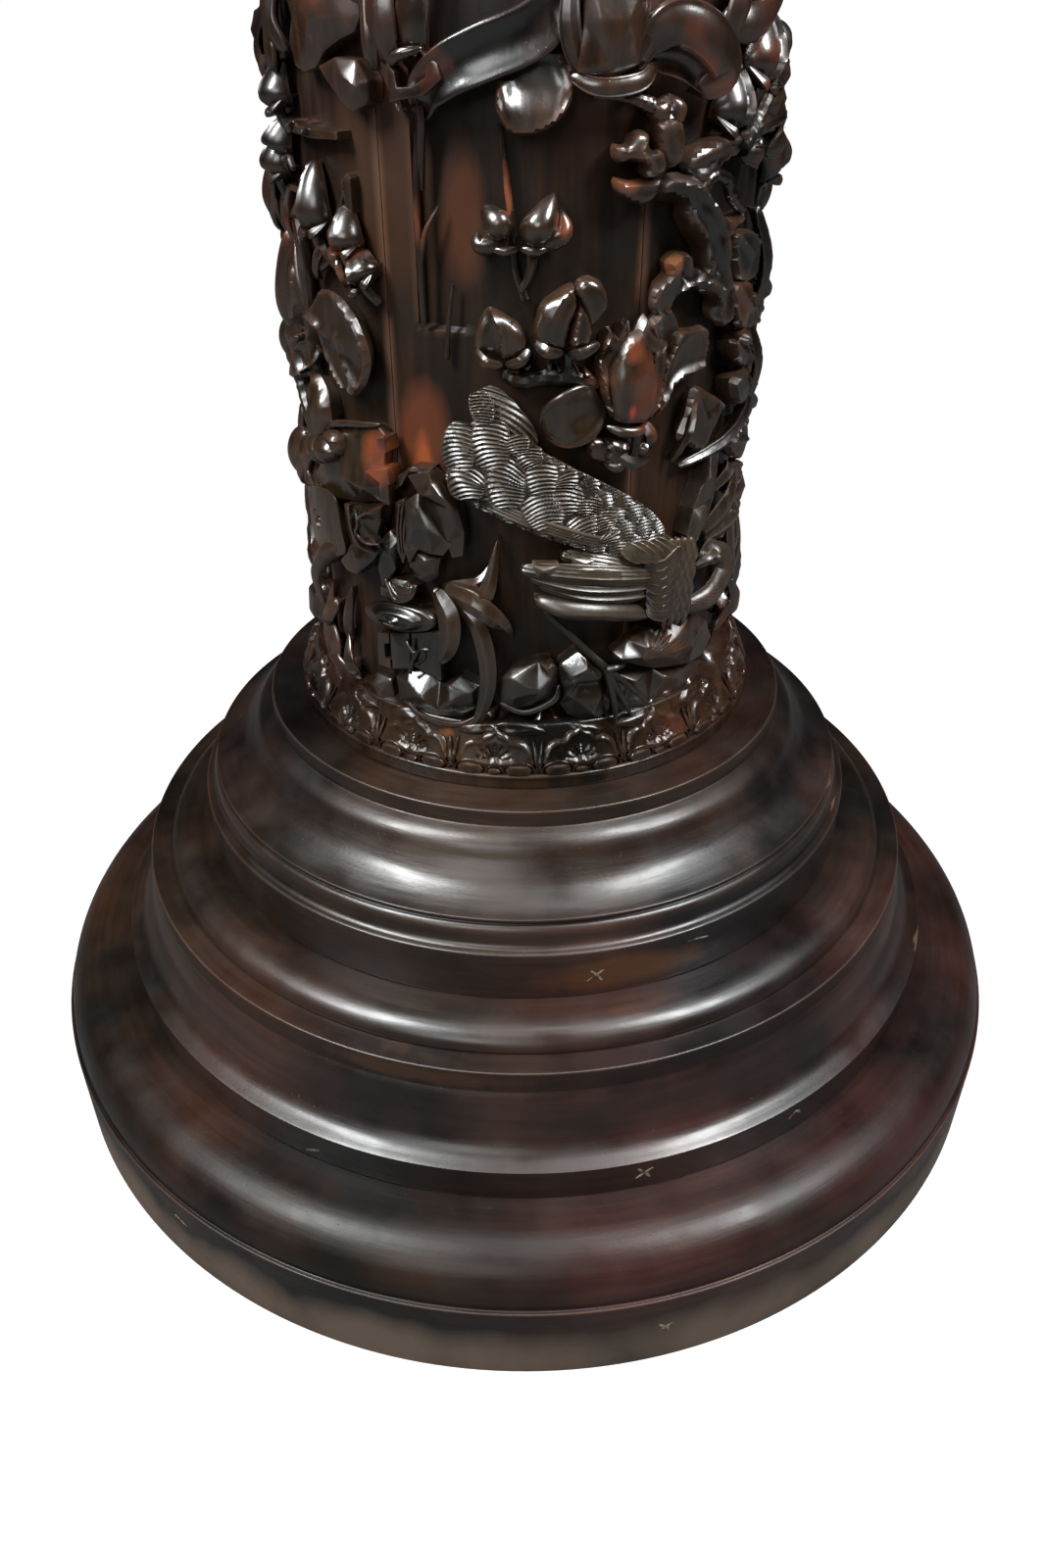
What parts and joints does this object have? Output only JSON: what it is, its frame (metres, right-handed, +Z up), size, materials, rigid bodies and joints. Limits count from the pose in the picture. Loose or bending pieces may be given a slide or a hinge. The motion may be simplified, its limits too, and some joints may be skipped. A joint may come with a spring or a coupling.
{
  "type": "column pedestal",
  "caption": "Round pedestal in dark hardwood: stepped turned base, hollow shaft carved in high relief with birds, magnolia, rocks and a lotus border, and a turned capital under a round top.",
  "frame": {"origin": "middle of the underside of the plinth, on the floor", "axes": "+Z up along the turning axis, -Y towards the side in the picture"},
  "size_m": [0.6, 0.6, 1.06],
  "materials": {
    "turned_hardwood": "dark polished hardwood, near black brown with reddish patches, satin gloss, worn bright at the edges",
    "carved_hardwood": "dark polished hardwood, carved, glossy on the high parts and worn to orange brown on the ground",
    "inner_wood": "plain unpolished hardwood",
    "iron_fittings": "dull dark iron"
  },
  "bodies": {
    "root": {"back_bough_1": "carved_hardwood", "back_bough_2": "carved_hardwood", "back_bough_3": "carved_hardwood", "back_bough_4": "carved_hardwood", "back_bough_5": "carved_hardwood", "bead_disc": "turned_hardwood", "bell_bloom": "carved_hardwood", "bloom_right": "carved_hardwood", "boulder_high": "carved_hardwood", "boulder_low": "carved_hardwood", "boulder_mid": "carved_hardwood", "bud_pair": "carved_hardwood", "capital_bell": "turned_hardwood", "capital_neck": "turned_hardwood", "curled_leaf": "carved_hardwood", "dowel_1a": "inner_wood", "dowel_1b": "inner_wood", "dowel_2a": "inner_wood", "dowel_2b": "inner_wood", "dowel_3a": "inner_wood", "dowel_3b": "inner_wood", "flower_spray": "carved_hardwood", "high_bough_1": "carved_hardwood", "high_bough_2": "carved_hardwood", "high_bough_3": "carved_hardwood", "high_bough_4": "carved_hardwood", "high_bough_5": "carved_hardwood", "high_bough_6": "carved_hardwood", "iris_clump": "carved_hardwood", "lantern_foot": "carved_hardwood", "lantern_house": "carved_hardwood", "lantern_roof": "carved_hardwood", "lower_border": "carved_hardwood", "lower_nut": "iron_fittings", "lower_plug": "inner_wood", "lower_washer": "iron_fittings", "middle_block": "turned_hardwood", "orchid_clump": "carved_hardwood", "petal_left": "carved_hardwood", "pheasant_body": "carved_hardwood", "pheasant_leg": "carved_hardwood", "pheasant_neck": "carved_hardwood", "pheasant_tail": "carved_hardwood", "pheasant_wing": "carved_hardwood", "plinth_block": "turned_hardwood", "plum_bough": "carved_hardwood", "round_petal": "carved_hardwood", "stave_1": "carved_hardwood", "stave_2": "carved_hardwood", "stave_3": "carved_hardwood", "stave_4": "carved_hardwood", "stave_5": "carved_hardwood", "stave_6": "carved_hardwood", "tie_rod": "iron_fittings", "top_board": "turned_hardwood", "upper_block": "turned_hardwood", "upper_border": "carved_hardwood", "upper_nut": "iron_fittings", "upper_plug": "inner_wood", "upper_washer": "iron_fittings"}
  },
  "joints": []
}
